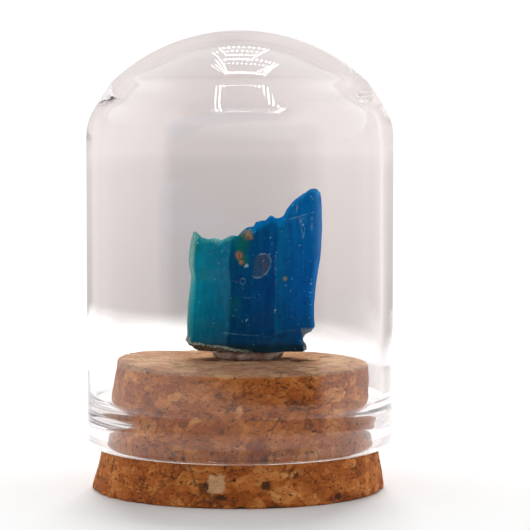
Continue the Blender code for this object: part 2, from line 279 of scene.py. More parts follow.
def lattice_noise(points, size, seed):
    """Smooth noise from -1 to 1: random values on a lattice, blended between its points.

    size is the lattice's spacing, one number or one for each axis.
    """
    scaled = points / np.asarray(size)
    cell = np.floor(scaled).astype(np.int64)
    t = smooth(scaled - cell, 0.0, 1.0)
    table = np.random.default_rng(seed).uniform(-1, 1, 4096)
    total = np.zeros(points.shape[:-1])
    for corner in itertools.product((0, 1), repeat=3):
        weight = np.prod(np.where(corner, t, 1 - t), axis=-1)
        total += weight * table[lattice_key(cell + corner) % 4096]
    return total


def lattice_key(cell):
    """A whole number for each lattice cell, mixed from its three indices."""
    return np.abs(cell[..., 0] * 73856093 ^ cell[..., 1] * 19349663 ^ cell[..., 2] * 83492791)


def layered_noise(points, size, seed, layers=3):
    """Noise with finer layers: each is half the size and half the height of the last."""
    total = np.zeros(points.shape[:-1])
    for layer in range(layers):
        total += lattice_noise(points, np.asarray(size) / 2 ** layer, seed + layer) / 2 ** layer
    return total


def granule_field(points, size, seed):
    """Random cells: one seed jittered in each lattice cell, and each point's nearest one.

    Returns the nearest seed's own number from 0 to 1, the distance to it and how much
    nearer it is than the second, both in lattice cells.
    """
    scaled = points / np.asarray(size)
    cell = np.floor(scaled).astype(np.int64)
    table = np.random.default_rng(seed).uniform(0, 1, (4096, 4))
    nearest = np.full(points.shape[:-1], 9.0)
    second = np.full(points.shape[:-1], 9.0)
    number = np.zeros(points.shape[:-1])
    for offset in itertools.product((-1, 0, 1), repeat=3):
        near_cell = cell + offset
        random = table[lattice_key(near_cell) % 4096]
        distance = np.linalg.norm(near_cell + random[..., :3] - scaled, axis=-1)
        closer = distance < nearest
        second = np.where(closer, nearest, np.minimum(second, distance))
        number = np.where(closer, random[..., 3], number)
        nearest = np.where(closer, distance, nearest)
    return number, nearest, second - nearest


def resample(profile, count, weight=None):
    """count points along a line of (r, z) points, closer together where its weight is high.

    weight has one number for each step of the line; without it the points are even.
    """
    profile = np.asarray(profile)
    steps = np.linalg.norm(np.diff(profile, axis=0), axis=1)
    if weight is not None:
        steps = steps * weight
    travelled = np.concatenate(([0.0], np.cumsum(steps)))
    even = np.linspace(0, travelled[-1], count)
    return np.column_stack([np.interp(even, travelled, profile[:, k]) for k in (0, 1)])


def soften(line, width, closed=False):
    """Each row of an array averaged with its neighbours by a bell of the given width."""
    reach = int(3 * width)
    weights = np.exp(-0.5 * (np.arange(-reach, reach + 1) / width) ** 2)
    weights /= weights.sum()
    mode = "wrap" if closed else "edge"
    pad = [(reach, reach)] + [(0, 0)] * (line.ndim - 1)
    padded = np.pad(line, pad, mode=mode)
    return sum(w * padded[k:k + len(line)] for k, w in enumerate(weights))


def arc(centre_r, centre_z, radius, start, end, steps=24):
    """Points (r, z) on an arc, from angle start to end in degrees above level."""
    angles = np.radians(np.linspace(start, end, steps + 1))
    return np.column_stack((centre_r + radius * np.cos(angles),
                            centre_z + radius * np.sin(angles)))


def turned(profile, columns):
    """Rings of points: a profile of (r, z) points carried round the upright axis."""
    angles = np.linspace(0, math.tau, columns, endpoint=False)
    r, z = profile[:, :1], profile[:, 1:]
    return np.stack((r * np.cos(angles), r * np.sin(angles), z + 0 * angles), axis=-1)


def grid_normals(rings):
    """Unit normals of closed rings: the cross product of the two ways along the grid."""
    around = np.roll(rings, -1, axis=1) - np.roll(rings, 1, axis=1)
    upward = np.gradient(rings, axis=0)
    normal = np.cross(around, upward)
    return normal / (np.linalg.norm(normal, axis=-1, keepdims=True) + 1e-15)


# ================================================================ meshes
def make_piece(name, rings, node, material, fields=None):
    """A closed skin over rings of points, with a fan to the middle of each end ring.

    rings has the shape (rows, columns, 3); it runs so that the columns go round to
    the left of the rows' own way, which points the faces outwards. fields maps the
    name of a vertex attribute to an array of the shape (rows, columns).
    """
    rows, columns, _ = rings.shape
    count = rows * columns
    ends = np.stack((rings[0].mean(axis=0), rings[-1].mean(axis=0)))
    index = np.arange(count).reshape(rows, columns)
    right = np.roll(index, -1, axis=1)
    quads = np.stack((index[:-1], right[:-1], right[1:], index[1:]), axis=-1).reshape(-1, 4)
    low_fan = np.column_stack((np.full(columns, count), right[0], index[0]))
    high_fan = np.column_stack((np.full(columns, count + 1), index[-1], right[-1]))
    corners = np.concatenate((quads.ravel(), low_fan.ravel(), high_fan.ravel()))
    sizes = np.concatenate((np.full(len(quads), 4), np.full(2 * columns, 3)))

    mesh = bpy.data.meshes.new(name)
    mesh.vertices.add(count + 2)
    mesh.vertices.foreach_set("co", np.concatenate((rings.reshape(-1, 3), ends)).ravel())
    mesh.loops.add(len(corners))
    mesh.loops.foreach_set("vertex_index", corners)
    mesh.polygons.add(len(sizes))
    mesh.polygons.foreach_set("loop_start", np.cumsum(sizes) - sizes)
    mesh.update(calc_edges=True)
    for field, values in (fields or {}).items():
        attribute = mesh.attributes.new(field, "FLOAT", "POINT")
        tips = [values[0].mean(), values[-1].mean()]
        attribute.data.foreach_set("value", np.concatenate((values.ravel(), tips)))
    mesh.shade_smooth()
    mesh.materials.append(material)
    piece = bpy.data.objects.new(name, mesh)
    bpy.context.scene.collection.objects.link(piece)
    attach(piece, "root")
    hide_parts(node)
    return piece


# ================================================================ shader nodes
class Value:
    """A node's output that stands in an expression: each operator adds a Math node."""

    def __init__(self, graph, socket):
        self.graph = graph
        self.socket = socket

    def math(self, operation, *values):
        return self.graph.node("ShaderNodeMath", {"operation": operation},
                               dict(enumerate(values)))

    def __add__(self, other):
        return self.math("ADD", self, other)

    def __radd__(self, other):
        return self.math("ADD", other, self)

    def __sub__(self, other):
        return self.math("SUBTRACT", self, other)

    def __rsub__(self, other):
        return self.math("SUBTRACT", other, self)

    def __mul__(self, other):
        return self.math("MULTIPLY", self, other)

    def __rmul__(self, other):
        return self.math("MULTIPLY", other, self)

    def __truediv__(self, other):
        return self.math("DIVIDE", self, other)

    def __abs__(self):
        return self.math("ABSOLUTE", self)

    def at_least(self, other):
        return self.math("MAXIMUM", self, other)

    def at_most(self, other):
        return self.math("MINIMUM", self, other)

    def cosine(self):
        return self.math("COSINE", self)


class Graph:
    """The node tree of one material or of the world."""

    def __init__(self, owner):
        owner.use_nodes = True
        self.tree = owner.node_tree
        self.tree.nodes.clear()

    def node(self, kind, settings=None, sockets=None, output=0):
        """Add a node: its settings first, then the values or links of its sockets."""
        node = self.tree.nodes.new(kind)
        for name, setting in (settings or {}).items():
            if name == "stops":
                self.set_stops(node.color_ramp, setting)
            else:
                setattr(node, name, setting)
        for name, value in (sockets or {}).items():
            if isinstance(value, Value):
                self.tree.links.new(value.socket, node.inputs[name])
            else:
                node.inputs[name].default_value = value
        return Value(self, node.outputs[output]) if node.outputs else node

    @staticmethod
    def set_stops(ramp, stops):
        """Give a colour ramp its stops, as (place, colour) pairs."""
        while len(ramp.elements) < len(stops):
            ramp.elements.new(1.0)
        for element, (place, colour) in zip(ramp.elements, stops):
            element.position = place
            element.color = (*colour, 1.0)

    def attribute(self, name):
        return self.node("ShaderNodeAttribute", {"attribute_name": name}, output="Fac")

    def place(self):
        return self.node("ShaderNodeTexCoord", output="Object")

    def output(self, value, name):
        """Another output of the node that a value comes from."""
        return Value(self, value.socket.node.outputs[name])

    def axes(self, vector):
        node = self.node("ShaderNodeSeparateXYZ", sockets={"Vector": vector}).socket.node
        return [Value(self, socket) for socket in node.outputs]

    def step(self, value, low, high):
        """0 below low and 1 above high, with a smooth rise between."""
        return self.node("ShaderNodeMapRange", {"interpolation_type": "SMOOTHSTEP"},
                         {"Value": value, "From Min": low, "From Max": high})

    def noise(self, vector, scale, detail=3.0, roughness=0.55, distortion=0.0):
        return self.node("ShaderNodeTexNoise", None, {
            "Vector": vector, "Scale": scale, "Detail": detail,
            "Roughness": roughness, "Distortion": distortion})

    def stretched(self, vector, scale):
        """The vector with each axis multiplied, so that a pattern on it is drawn out."""
        return self.node("ShaderNodeVectorMath", {"operation": "MULTIPLY"},
                         {0: vector, 1: scale})

    def ramp(self, value, stops):
        """A colour for each value, by straight lines between stops of (place, colour)."""
        return self.node("ShaderNodeValToRGB", {"stops": stops}, {"Fac": value})

    def mix(self, factor, first, second, blend="MIX"):
        """The first colour, blended with the second by the factor."""
        return self.node("ShaderNodeMix", {"data_type": "RGBA", "blend_type": blend},
                         {0: factor, 6: opaque(first), 7: opaque(second)}, output=2)

    def bump(self, height, strength, distance):
        return self.node("ShaderNodeBump", None, {
            "Height": height, "Strength": strength, "Distance": distance})

    def surface(self, sockets):
        """A Principled shader with these sockets, joined to the output."""
        shader = self.node("ShaderNodeBsdfPrincipled", None, sockets)
        self.node("ShaderNodeOutputMaterial", None, {"Surface": shader})


def opaque(colour):
    """A colour with its alpha, or a link as it is."""
    return colour if isinstance(colour, Value) else (*colour, 1.0)


# ================================================================ camera, floor and light
def make_camera():
    """A long lens a little above the dome's shoulder, looking slightly down."""
    camera = bpy.data.cameras.new("camera")
    camera.lens = CAMERA_LENS
    camera.clip_start = 0.01
    camera.clip_end = 10.0
    viewer = bpy.data.objects.new("camera", camera)
    viewer.location = (0.0, -CAMERA_DISTANCE, CAMERA_HEIGHT)
    viewer.rotation_euler = (math.pi / 2 - CAMERA_PITCH, 0.0, -CAMERA_YAW)
    bpy.context.scene.collection.objects.link(viewer)
    bpy.context.scene.camera = viewer
    bpy.context.scene.view_settings.view_transform = "Standard"


def set_light_paths():
    """Light that the thick glass guides takes many bounces to leave it."""
    paths = bpy.context.scene.cycles
    paths.max_bounces = GLASS_BOUNCES
    paths.glossy_bounces = GLASS_BOUNCES
    paths.transmission_bounces = GLASS_BOUNCES


def make_world():
    """A light tent: white to the camera, soft light on matt surfaces, and a room to mirror."""
    world = bpy.data.worlds.new("tent")
    bpy.context.scene.world = world
    graph = Graph(world)
    direction = graph.node("ShaderNodeTexCoord", output="Generated")
    x, y, z = graph.axes(direction)
    level_part = graph.node("ShaderNodeVectorMath", {"operation": "MULTIPLY"},
                            {0: direction, 1: (1, 1, 0)})
    reach = graph.node("ShaderNodeVectorMath", {"operation": "LENGTH"},
                       {0: level_part}, output="Value")
    path = graph.node("ShaderNodeLightPath", output="Is Camera Ray")
    glossy = graph.output(path, "Is Glossy Ray")
    through = graph.output(path, "Is Transmission Ray")
    lights_matt = graph.step(graph.output(path, "Diffuse Depth"), 0.4, 0.6)
    sees = glossy.at_least(through) * (1 - lights_matt)
    colour = graph.mix(sees, matt_light(graph, x, y, z), mirrored_room(graph, x, y, z, reach))
    colour = graph.mix(path, colour, TENT_SEEN)
    shader = graph.node("ShaderNodeBackground", None, {"Color": colour})
    graph.node("ShaderNodeOutputWorld", None, {"Surface": shader})


def mirrored_room(graph, x, y, z, reach):
    """The tent as glass and gloss see it, by direction; reach is its level part's length.

    It has a grey back, darker low down and brighter to each side, bright sides, a dim
    ceiling, frames of lamps overhead and a dark opening in front, wider on the right.
    """
    back = TENT_BACK + TENT_BACK_RISE * z.at_most(0.01).at_least(-0.09)
    back = back * (1 + TENT_BACK_EDGES * graph.step(abs(x), 0.01, 0.09))
    level = back + graph.step(z, 0.45, 0.80) * (TENT_CEILING - back)
    level = level + graph.step(abs(x), 0.45, 0.72) * (TENT_SIDE - level)
    ahead = 0 - y / reach
    sideways = x / reach
    opening = graph.step(ahead, 0.0, 0.2) * (1 - graph.step(z, 0.30, 0.55)) \
        * graph.step(sideways, -0.866, -0.73) * (1 - graph.step(sideways, 0.86, 0.95))
    level = level + opening * (TENT_OPENING - level)
    room = graph.mix(level, (0, 0, 0), TENT_TINT)
    return graph.mix(lamp_frames(graph, x, y, z), room, (LAMP_LEVEL,) * 3)


def matt_light(graph, x, y, z):
    """The tent as it lights matt surfaces: most from the sides, least from the front."""
    side = TENT_LIGHT_SIDE * (1 + TENT_LIGHT_LEAN * x)
    soft = TENT_LIGHT_FRONT + graph.step(y, -0.2, 0.7) * (TENT_LIGHT_BACK - TENT_LIGHT_FRONT)
    soft = soft + graph.step(abs(x), 0.40, 0.92) * (side - soft)
    soft = soft + graph.step(z, 0.2, 0.9) * (TENT_LIGHT_ABOVE - soft)
    return graph.mix(soft, (0, 0, 0), TENT_LIGHT_TINT)


def lamp_frames(graph, x, y, z):
    """1 on the lamps of the frames overhead, by direction, and 0 between them.

    The lamps are upright stripes: full lines at the two ends of a frame, and short
    dashes along its long sides.
    """
    height = z.at_least(0.05)
    lit = 0 * z
    for centre, half_size, widening, count in LAMP_FRAMES:
        down = (y / height - centre[1]) / half_size[1]
        over = (x / height - centre[0] - down * (LAMP_SLANT * widening)) \
            / (half_size[0] + down * widening)
        border = graph.step(abs(over), 0.84, 0.86).at_least(graph.step(abs(down), 0.76, 0.80))
        inside = (1 - graph.step(abs(over), 0.99, 1.01)) * (1 - graph.step(abs(down), 0.99, 1.02))
        stripe = graph.step((over * (math.tau * count)).cosine(), 0.25, 0.6)
        lit = lit + inside * border * stripe
    return lit * graph.step(z, 0.05, 0.10)


def make_floor():
    """A pale round table top, off centre, whose edge fades out into the tent."""
    radii = np.linspace(0.02 * MM, FLOOR_RADIUS + FLOOR_FADE, FLOOR_RINGS)
    points = turned(np.column_stack((radii, 0 * radii)), FLOOR_COLUMNS)
    points += np.array(FLOOR_CENTRE)
    index = np.arange(points.shape[0] * points.shape[1]).reshape(points.shape[:2])
    right = np.roll(index, -1, axis=1)
    quads = np.stack((index[:-1], index[1:], right[1:], right[:-1]), axis=-1)
    mesh = bpy.data.meshes.new("table")
    mesh.from_pydata(points.reshape(-1, 3).tolist(), [], quads.reshape(-1, 4).tolist())
    material = bpy.data.materials.new("table")
    graph = Graph(material)
    away = graph.node("ShaderNodeVectorMath", {"operation": "DISTANCE"},
                      {0: graph.place(), 1: FLOOR_CENTRE}, output="Value")
    gone = graph.step(away, FLOOR_RADIUS - FLOOR_FADE, FLOOR_RADIUS + FLOOR_FADE)
    graph.surface({"Base Color": FLOOR_GREY, "Roughness": 0.9,
                   "Specular IOR Level": 0.1, "Alpha": 1 - gone})
    mesh.materials.append(material)
    table = bpy.data.objects.new("table", mesh)
    bpy.context.scene.collection.objects.link(table)


def make_key_light():
    """A soft panel above and behind the dome, a little to the right.

    It gives the floor its shadow, and neither the camera nor the glass sees it.
    """
    light = bpy.data.lights.new("panel", "AREA")
    light.shape = "SQUARE"
    light.size = PANEL_SIZE
    light.energy = PANEL_WATTS
    panel = bpy.data.objects.new("panel", light)
    panel.location = PANEL_PLACE
    aim = mathutils.Vector(PANEL_AIM) - panel.location
    panel.rotation_euler = aim.to_track_quat("-Z", "Y").to_euler()
    panel.visible_glossy = False
    panel.visible_transmission = False
    panel.visible_camera = False
    bpy.context.scene.collection.objects.link(panel)


# ================================================================ glass dome
def glass_outline():
    """Half section of the glass, from the middle of the crown's underside round the rim.

    The outside is a cap, a cone, a shoulder and a straight wall. The inside is a smaller
    cap round the same centre, a soft shoulder and a straight wall; a cone with softened
    ends, r rising as t - sin(2 pi t) / 36, brings it in to the ring.
    """
    cap_centre = DOME_TOP - CAP_RADIUS
    cap_end = math.degrees(math.acos(CONE_TOP_RADIUS / CAP_RADIUS))
    cap = arc(0, cap_centre, CAP_RADIUS, cap_end, 90)
    lean = math.atan2(CONE_FOOT_RADIUS - CONE_TOP_RADIUS, cap[0][1] - CONE_FOOT_Z)
    bend = (DOME_RADIUS - CONE_FOOT_RADIUS) / (1 - math.cos(lean))
    shoulder = arc(DOME_RADIUS - bend, CONE_FOOT_Z - bend * math.sin(lean), bend,
                   0, math.degrees(lean))
    wall = [(DOME_RADIUS, WALL_START_Z)]
    outside = soften(resample(np.concatenate((wall, shoulder, cap)), FINE_POINTS), 6)

    crown_radius = CAP_RADIUS - CROWN_DEPTH
    crown_end = math.degrees(math.acos(CROWN_EDGE / crown_radius))
    crown = arc(0, cap_centre, crown_radius, 90, crown_end)[1:]
    hollow = np.concatenate((crown, np.array(INNER_SHOULDER) * MM))
    inside = soften(resample(hollow, FINE_POINTS), SHOULDER_SOFTNESS)

    t = np.linspace(1, 0, 25)
    bore = inside[-1, 0]
    swell = np.column_stack((
        MOUTH_RADIUS + (bore - MOUTH_RADIUS) * (t - np.sin(math.tau * t) / 36),
        RING_TOP_Z + (RING_END_Z - RING_TOP_Z) * t))
    rim_radius = (DOME_RADIUS - MOUTH_RADIUS) / 2
    rim = arc(DOME_RADIUS - rim_radius, DOME_RIM_Z + rim_radius, rim_radius, -180, 0)
    outline = resample(np.concatenate((inside, swell, rim, outside)), 3000)
    plain = (outline[1:, 1] > 14 * MM) & (outline[1:, 1] < WALL_START_Z)
    return resample(soften(outline, 5), DOME_ROWS, np.where(plain, 0.5, 1.0))


def make_dome():
    """The glass: its section turned, the bore pushed off centre, and slow waves in it."""
    outline = glass_outline()[1:-1]
    rings = turned(outline, DOME_COLUMNS)
    rim_row = np.argmin(outline[:, 1])
    inner = (np.arange(len(outline)) < rim_row)[:, None]
    rise = np.clip((rings[..., 2] - RING_TOP_Z) / (BORE_SHIFT_Z - RING_TOP_Z), 0, 1)
    rings[..., 0] += np.where(inner, BORE_SHIFT * rise, 0.0)
    normals = grid_normals(rings)
    streaks = layered_noise(rings, (5 * MM, 5 * MM, 1.6 * MM), 11, 2)
    slow = lattice_noise(rings, 9 * MM, 17)
    depth = np.where(inner, STREAK_DEPTH * streaks + WAVE_DEPTH * slow, STREAK_DEPTH * slow)
    still = smooth(rings[..., 2], 7 * MM, 14 * MM) * (
        1 - smooth(rings[..., 2], 32 * MM, 36 * MM))
    rings += normals * (depth * still)[..., None]

    material = bpy.data.materials.new("clear_blown_glass")
    graph = Graph(material)
    graph.surface({"Base Color": GLASS_TINT, "Roughness": 0.0, "IOR": GLASS_IOR,
                   "Transmission Weight": 1.0})
    dome = make_piece("dome_glass", rings, "glass_dome", material)
    dome.visible_shadow = False    # the panel's light passes through it


# ================================================================ cork
def cork_outline():
    """Half section of the cork: foot, cone, seat of the rim, squeezed neck, plug, top."""
    rim_radius = (DOME_RADIUS - MOUTH_RADIUS) / 2
    rim_centre = (DOME_RADIUS - rim_radius, DOME_RIM_Z + rim_radius)
    seat_radius = rim_radius + MOUTH_RADIUS - CORK_NECK_RADIUS
    seat_start = 360 - math.degrees(
        math.acos((CORK_FLANGE_RADIUS - rim_centre[0]) / seat_radius))
    foot = arc(CORK_FOOT_RADIUS - CORK_FOOT_EDGE, CORK_FOOT_EDGE, CORK_FOOT_EDGE, -90, 0)
    seat = arc(*rim_centre, seat_radius, seat_start, 180)
    top_edge = arc(CORK_TOP_RADIUS - CORK_EDGE, CORK_TOP - CORK_EDGE, CORK_EDGE, 0, 90)
    plug = [(CORK_NECK_RADIUS, RING_TOP_Z), (CORK_PLUG_RADIUS, CORK_PLUG_Z)]
    return np.concatenate(([(0.0, 0.0)], foot, seat, plug, top_edge, [(0.0, CORK_TOP)]))


def cork_rows(outline, count):
    """The outline resampled with most of its points on the side and the top's outer part."""
    even = resample(outline, 4000)
    weight = np.where(even[1:, 1] < 0.01 * MM, 0.25, 1.0)
    weight *= np.where(even[1:, 0] < 3 * MM, 0.5, 1.0)
    return resample(even, count + 2, weight)[1:-1]


def make_cork():
    """Pressed cork: granules set a little high or low, crevices between them, and pits."""
    rings = turned(cork_rows(cork_outline(), CORK_ROWS), CORK_COLUMNS)
    normals = grid_normals(rings)
    bend = np.stack([layered_noise(rings, 1.2 * MM, 31 + 5 * k, 3) for k in range(3)], axis=-1)
    bent = rings + GRANULE_BEND * bend
    tone, _, gap = granule_field(bent, GRANULE_SIZE, 41)
    fine_tone, _, fine_gap = granule_field(bent, FINE_GRANULE_SIZE, 43)
    broken = smooth(layered_noise(rings, 1.6 * MM, 51, 2), 0.0, 0.5)
    crevice = (1 - smooth(gap, 0.01, 0.12)) * broken
    fine_crevice = 1 - smooth(fine_gap, 0.0, 0.10)
    pit_tone, pit_near, _ = granule_field(bent, PIT_SPACING, 47)
    pit = (1 - smooth(pit_near, 0.05, 0.17)) * (pit_tone > PIT_FROM)
    chip, light, dark = cork_marks(rings)
    pit = np.maximum(pit, chip)
    relief = (GRANULE_STEP * (tone - 0.5) - CREVICE_DEPTH * crevice - PIT_DEPTH * pit
              + FINE_STEP * (fine_tone - 0.5) - FINE_CREVICE_DEPTH * fine_crevice
              + CORK_ROUGHNESS * layered_noise(rings, 0.5 * MM, 61)
              + LIGHT_RISE * light - DARK_DEPTH * dark)
    rings = rings + normals * (cork_depth(rings, relief) * MM)[..., None]
    settle_cork(rings)

    z = rings[..., 2]
    # plug: where the cork is painted paler, a painted sheen of the glass
    plug = smooth(z, DOME_RIM_Z, RING_TOP_Z)
    # top: where painted light from above lies
    top = smooth(z, CORK_TOP - 0.35 * MM, CORK_TOP - 0.1 * MM)
    make_piece("cork_stopper", rings, "cork_base", cork_material(), {
        "granule": tone, "crevice": crevice, "pit": pit, "light": light, "dark": dark,
        "plug": plug, "top": top})


def cork_depth(rings, relief):
    """The relief, flatter where the glass squeezes it, deeper outside and never under.

    The lower edge is worn back too, here more and there less.
    """
    z = rings[..., 2]
    squeezed = smooth(z, DOME_RIM_Z, DOME_RIM_Z + 1 * MM) * (
        1 - smooth(z, RING_TOP_Z, RING_TOP_Z + 1 * MM))
    relief = relief * (1 - 0.8 * squeezed)
    relief = np.where(z < DOME_RIM_Z, relief * 1.25, relief)
    foot_edge = (1 - smooth(z, 0.15 * MM, 0.7 * MM)) * smooth(
        np.hypot(rings[..., 0], rings[..., 1]), 13 * MM, 13.6 * MM)
    relief -= FOOT_WEAR * foot_edge * smooth(layered_noise(rings, 0.9 * MM, 67, 2), -0.2, 0.8)
    return np.where(z < 0.02 * MM, np.minimum(relief, 0.0), relief)


def settle_cork(rings):
    """Stands the cork on the floor, spreads its left foot, lifts its left edge and leans it."""
    x, z = rings[..., 0], rings[..., 2]
    np.maximum(z, 0.0, out=z)
    spread = 1 - smooth(z, -DOME_RIM_Z, DOME_RIM_Z)
    x -= 2 * CORK_SPREAD * spread * smooth(-x, 0, CORK_FOOT_RADIUS)
    upper = smooth(z, RING_END_Z - 1 * MM, CORK_TOP)
    z += CORK_LIFT * upper * smooth(-x, 5 * MM, 12 * MM)
    x += CORK_LEAN * upper


def cork_marks(rings):
    """Single features of the cork: chips, light and dark granules, and a painted shadow by the
    light one.

    Each is a block with rounded corners round a chosen point, its edge made ragged by
    noise; the gouge on the top is drawn out along x.
    """
    ragged = 0.16 * layered_noise(rings, 0.45 * MM, 73, 2)
    chip, light, dark = (np.zeros(rings.shape[:2]) for _ in range(3))
    for field, spots in ((chip, CORK_CHIPS), (light, CORK_LIGHT), (dark, CORK_DARK_AND_SHADOW)):
        for centre, radii in spots:
            parts = np.abs((rings / MM - centre) / radii) ** 4
            away = parts.sum(axis=-1) ** 0.25 + ragged
            np.maximum(field, 1 - smooth(away, 0.82, 0.96), out=field)
    return chip, light, dark


def cork_material():
    """Cork brown: a tone for each granule, fine streaks, dark crevices, flecks and pits, paler in
    the glass as a painted sheen and on its top as painted light.
    """
    material = bpy.data.materials.new("pressed_cork")
    graph = Graph(material)
    field = graph.attribute
    place = graph.place()
    drift = graph.node("ShaderNodeTexNoise", None, {
        "Vector": place, "Scale": 900.0, "Detail": 3.0, "Roughness": 0.6}, output="Color")
    drift = graph.node("ShaderNodeVectorMath", {"operation": "MULTIPLY_ADD"}, {
        0: drift, 1: (0.0007, 0.0007, 0.0007), 2: place})
    flat = graph.stretched(drift, (0.75, 0.75, 1.3))
    cells = graph.node("ShaderNodeTexVoronoi", None, {"Vector": flat, "Scale": 1050.0},
                       output="Color")
    cell_tone = graph.axes(cells)[0]
    edge = graph.node("ShaderNodeTexVoronoi", {"feature": "DISTANCE_TO_EDGE"},
                      {"Vector": flat, "Scale": 1050.0})
    streaks = graph.noise(graph.stretched(drift, (1, 1, 2.2)), 1500.0, 4.0, 0.7, 1.2)
    grain = graph.noise(place, 5200.0, 3.0, 0.6)
    mottle = graph.noise(place, 420.0, 3.0, 0.6)
    # On the top the tone is raised: painted light from above.
    tone = field("granule") * 0.34 + cell_tone * 0.26 + streaks * 0.55 \
        + mottle * 0.45 + field("top") * 0.28 - 0.28
    colour = graph.ramp(tone, [
        (0.10, (0.22, 0.050, 0.008)), (0.35, (0.42, 0.120, 0.020)),
        (0.55, (0.56, 0.190, 0.038)), (0.75, (0.72, 0.310, 0.090)),
        (0.95, (0.88, 0.500, 0.210))])
    colour = graph.mix(0.45, colour, graph.ramp(grain, [
        (0.28, (0.45, 0.40, 0.36)), (0.5, (0.98, 0.98, 0.98)), (0.72, (1.3, 1.28, 1.25))]),
        "MULTIPLY")
    open_edge = graph.step(graph.noise(place, 620.0, 2.0, 0.5), 0.50, 0.62)
    clear = 1 - field("light")
    hairline = (1 - graph.step(edge, 0.0, 0.045)) * open_edge * clear
    colour = graph.mix(hairline * 0.75, colour, (0.11, 0.032, 0.012))
    colour = graph.mix(field("crevice") * 0.75, colour, (0.10, 0.030, 0.011))
    fleck = graph.step(graph.noise(graph.stretched(drift, (1, 1, 1.8)), 2300.0, 2.0, 0.5),
                       0.62, 0.67) * clear
    colour = graph.mix(fleck * 0.80, colour, (0.10, 0.034, 0.014))
    # Paler and pinker in the glass than on the foot: a painted sheen of the glass.
    colour = graph.mix(1.0, colour, graph.ramp(field("plug"), [
        (0.0, CORK_FOOT_SHADE), (1.0, CORK_PLUG_PAINTED_SHEEN)]), "MULTIPLY")
    # The top is painted paler, then tinted: painted light from above.
    colour = graph.mix(field("top") * 0.25, colour, CORK_TOP_PAINTED_LIGHT)
    colour = graph.mix(field("top"), colour, CORK_TOP_SHADE, "MULTIPLY")
    colour = graph.mix(field("light") * 0.9, colour, graph.ramp(streaks, [
        (0.3, (0.50, 0.27, 0.12)), (0.7, (0.74, 0.46, 0.25))]))
    colour = graph.mix(field("pit") * 0.85, colour, (0.055, 0.020, 0.010))
    colour = graph.mix(field("dark") * 0.92, colour, (0.070, 0.026, 0.011))
    height = grain * 0.35 + streaks * 0.6 - hairline * 0.9 - fleck * 0.6
    graph.surface({
        "Base Color": colour, "Roughness": 0.70 + mottle * 0.2, "Specular IOR Level": 0.25,
        "Normal": graph.bump(height, 0.7, 0.14 * MM)})
    return material


# ================================================================ opal
def opal_plan():
    """s and y round the opal: its upright edges joined by faces that bow in or out.

    The points stand closer together on the front faces, which carry the marks.
    """
    corners = np.array([(s * OPAL_WIDTH, y * MM, bow * MM) for s, y, bow in PLAN])
    t = np.linspace(0, 1, 200, endpoint=False)[:, None]
    stretches = []
    for here, after in zip(corners, np.roll(corners, -1, axis=0)):
        run = after[:2] - here[:2]
        outward = np.array((run[1], -run[0])) / np.linalg.norm(run)
        stretches.append(here[:2] + run * t + outward * here[2] * np.sin(math.pi * t))
    line = np.concatenate(stretches + [stretches[0][:1]])
    weight = np.where(line[1:, 1] < 1.5 * MM, 1.9, 1.0)
    line = resample(line, OPAL_COLUMNS + 1, weight)[:-1]
    line = soften(line, 1.2, closed=True)
    return line[:, 0] / OPAL_WIDTH, line[:, 1]


def soft_interp(value, pairs, width):
    """Straight lines through (place, size) pairs in millimetres, with rounded corners."""
    places, sizes = np.array(pairs).T
    taps = np.linspace(-1, 1, 5) * width
    return sum(np.interp(value + tap, places, sizes) for tap in taps) / len(taps)


def opal_x(s, y, height):
    """x of the place s across the opal, between its left and right sides at a height.

    In the middle it moves a little to the left with height, as the upright edges lean.
    """
    level = (height - SIDE_TILT * (y - OPAL_MIDDLE[1])) / MM
    left = soft_interp(level, LEFT_SIDE, 0.12) * MM
    right = soft_interp(level, RIGHT_SIDE, 0.08) * MM
    lean = EDGE_LEAN * (EDGE_LEAN_LEVEL - level) * 4 * s * (1 - s)
    return left + (right - left) * (s + lean)


def opal_top(s, y):
    """Height of the broken top: the skyline, falling back, with ripples and small breaks."""
    fall = TOP_FALL * (y + 0.30 * MM)
    ripple = TOP_RIPPLE * np.sin(31 * s + 900 * y) * np.sin(2100 * y - 9 * s)
    spot = np.stack((s * OPAL_WIDTH, y, np.zeros_like(s)), axis=-1)
    breaks = TOP_BREAKS * layered_noise(spot, 0.7 * MM, 71)
    return soft_interp(s, SKYLINE, 0.005) * MM - fall + ripple + breaks


def opal_rings():
    """The opal's rings from its underside's middle, up its sides, to its top's middle.

    Each ring is its plan, shrunk towards its middle on the underside and the top. Its
    sides wave slightly with height and are chipped back at the foot. Also returns s for
    each point.
    """
    s, y = opal_plan()
    side = smooth_ends(OPAL_SIDE_ROWS)[:, None]
    height = opal_top(s, y) * side
    outward = np.sign(y - OPAL_MIDDLE[1])
    wave = SIDE_WAVE * np.sin(430 * height + 7 * s) * np.sin(math.pi * side)
    y_side = y + outward * (wave - FOOT_INSET * np.exp(-25 * side))
    sides = np.stack((opal_x(s, y, height), y_side, OPAL_FOOT_Z + height), axis=-1)
    shrink = np.linspace(0.02, 1, OPAL_CAP_ROWS, endpoint=False)[:, None]
    s_in = OPAL_MIDDLE[0] + (s - OPAL_MIDDLE[0]) * shrink
    y_in = OPAL_MIDDLE[1] + (y - OPAL_MIDDLE[1]) * shrink
    under = np.stack((opal_x(s_in, y_in, 0 * s_in),
                      y_in - FOOT_INSET * shrink * outward,
                      OPAL_FOOT_Z + 0 * s_in), axis=-1)
    peak = opal_top(s_in, y_in)
    top = np.stack((opal_x(s_in, y_in, peak), y_in, OPAL_FOOT_Z + peak), axis=-1)
    return np.concatenate((under, sides, top[::-1])), np.concatenate(
        (s_in, np.broadcast_to(s, side.shape[:1] + s.shape), s_in[::-1]))


